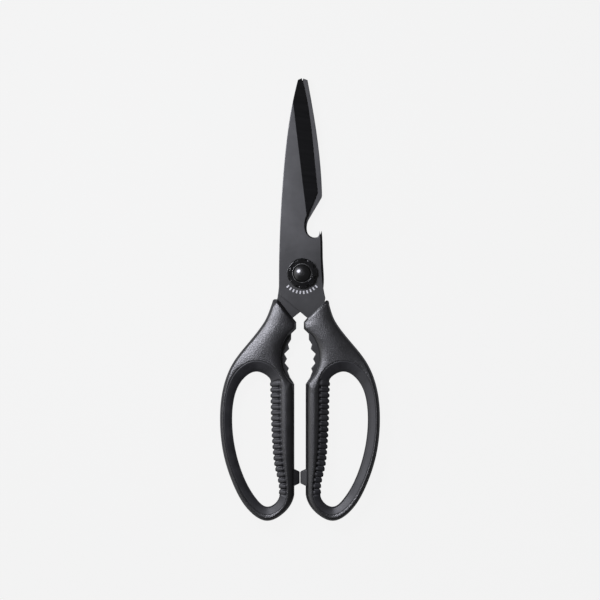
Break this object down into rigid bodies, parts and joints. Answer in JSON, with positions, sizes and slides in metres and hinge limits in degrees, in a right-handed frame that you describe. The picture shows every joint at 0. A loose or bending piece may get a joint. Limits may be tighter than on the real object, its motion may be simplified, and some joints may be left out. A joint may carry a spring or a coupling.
{
  "type": "kitchen shears",
  "caption": "Kitchen shears with coated steel blades, a bottle opener notch, a toothed grip between the handles, ribbed soft finger rings and a push-button take-apart pivot.",
  "frame": {"origin": "where the pivot axis meets the surface that the closed shears lie on, on the back face of the pivot", "axes": "+Y to the blade tips, +Z out of the front face along the pivot axis, +X to the handle of the front blade"},
  "size_m": [0.078, 0.2158, 0.012],
  "materials": {
    "coated_steel": "dark grey coating over fine lengthwise grinding, satin",
    "hard_shell": "near black, fine spark-eroded texture",
    "soft_liner": "smooth soft touch, slightly bluish black",
    "stop_rubber": "smooth, matt black",
    "bright_steel": "polished steel",
    "spring_steel": "plain spring steel",
    "black_enamel": "gloss black",
    "gloss_black": "polished",
    "slip_washer": "plain, off-white"
  },
  "bodies": {
    "rear_half": {"rear_blade": "coated_steel", "left_handle": "hard_shell", "left_grip_liner": "soft_liner", "left_stop_pad": "stop_rubber", "pivot_stud": "bright_steel", "rear_cap": "black_enamel", "bearing_washer": "slip_washer", "button_spring": "spring_steel"},
    "front_half": {"front_blade": "coated_steel", "right_handle": "hard_shell", "right_grip_liner": "soft_liner", "right_stop_pad": "stop_rubber", "pivot_bushing": "bright_steel", "collar_nut": "black_enamel"},
    "button": {"push_button": "gloss_black", "button_plunger": "bright_steel", "retaining_clip": "spring_steel"},
    "lock_ball_1": {"lock_ball_1": "bright_steel"},
    "lock_ball_2": {"lock_ball_2": "bright_steel"},
    "lock_ball_3": {"lock_ball_3": "bright_steel"}
  },
  "joints": [
    {"name": "blade_pivot", "type": "hinge", "parent": "rear_half", "child": "front_half", "pos_m": [0, 0, 0.0054], "axis": [0, 0, 1], "range_deg": [0, 85]},
    {"name": "button_press", "type": "slide", "parent": "rear_half", "child": "button", "axis": [0, 0, -1], "range_m": [0, 0.0014], "stiffness_N_per_m": 1500, "springref_m": -0.001, "deforming": ["button_spring"]},
    {"name": "lock_ball_1_slide", "type": "slide", "parent": "rear_half", "child": "lock_ball_1", "axis": [0, -1, 0], "range_m": [0, 0.0005]},
    {"name": "lock_ball_2_slide", "type": "slide", "parent": "rear_half", "child": "lock_ball_2", "axis": [0.866, 0.5, 0], "range_m": [0, 0.0005]},
    {"name": "lock_ball_3_slide", "type": "slide", "parent": "rear_half", "child": "lock_ball_3", "axis": [-0.866, 0.5, 0], "range_m": [0, 0.0005]}
  ],
  "couplings": [
    {"joint": "lock_ball_1_slide", "follows": "button_press", "ratio": 0.35714},
    {"joint": "lock_ball_2_slide", "follows": "button_press", "ratio": 0.35714},
    {"joint": "lock_ball_3_slide", "follows": "button_press", "ratio": 0.35714}
  ]
}
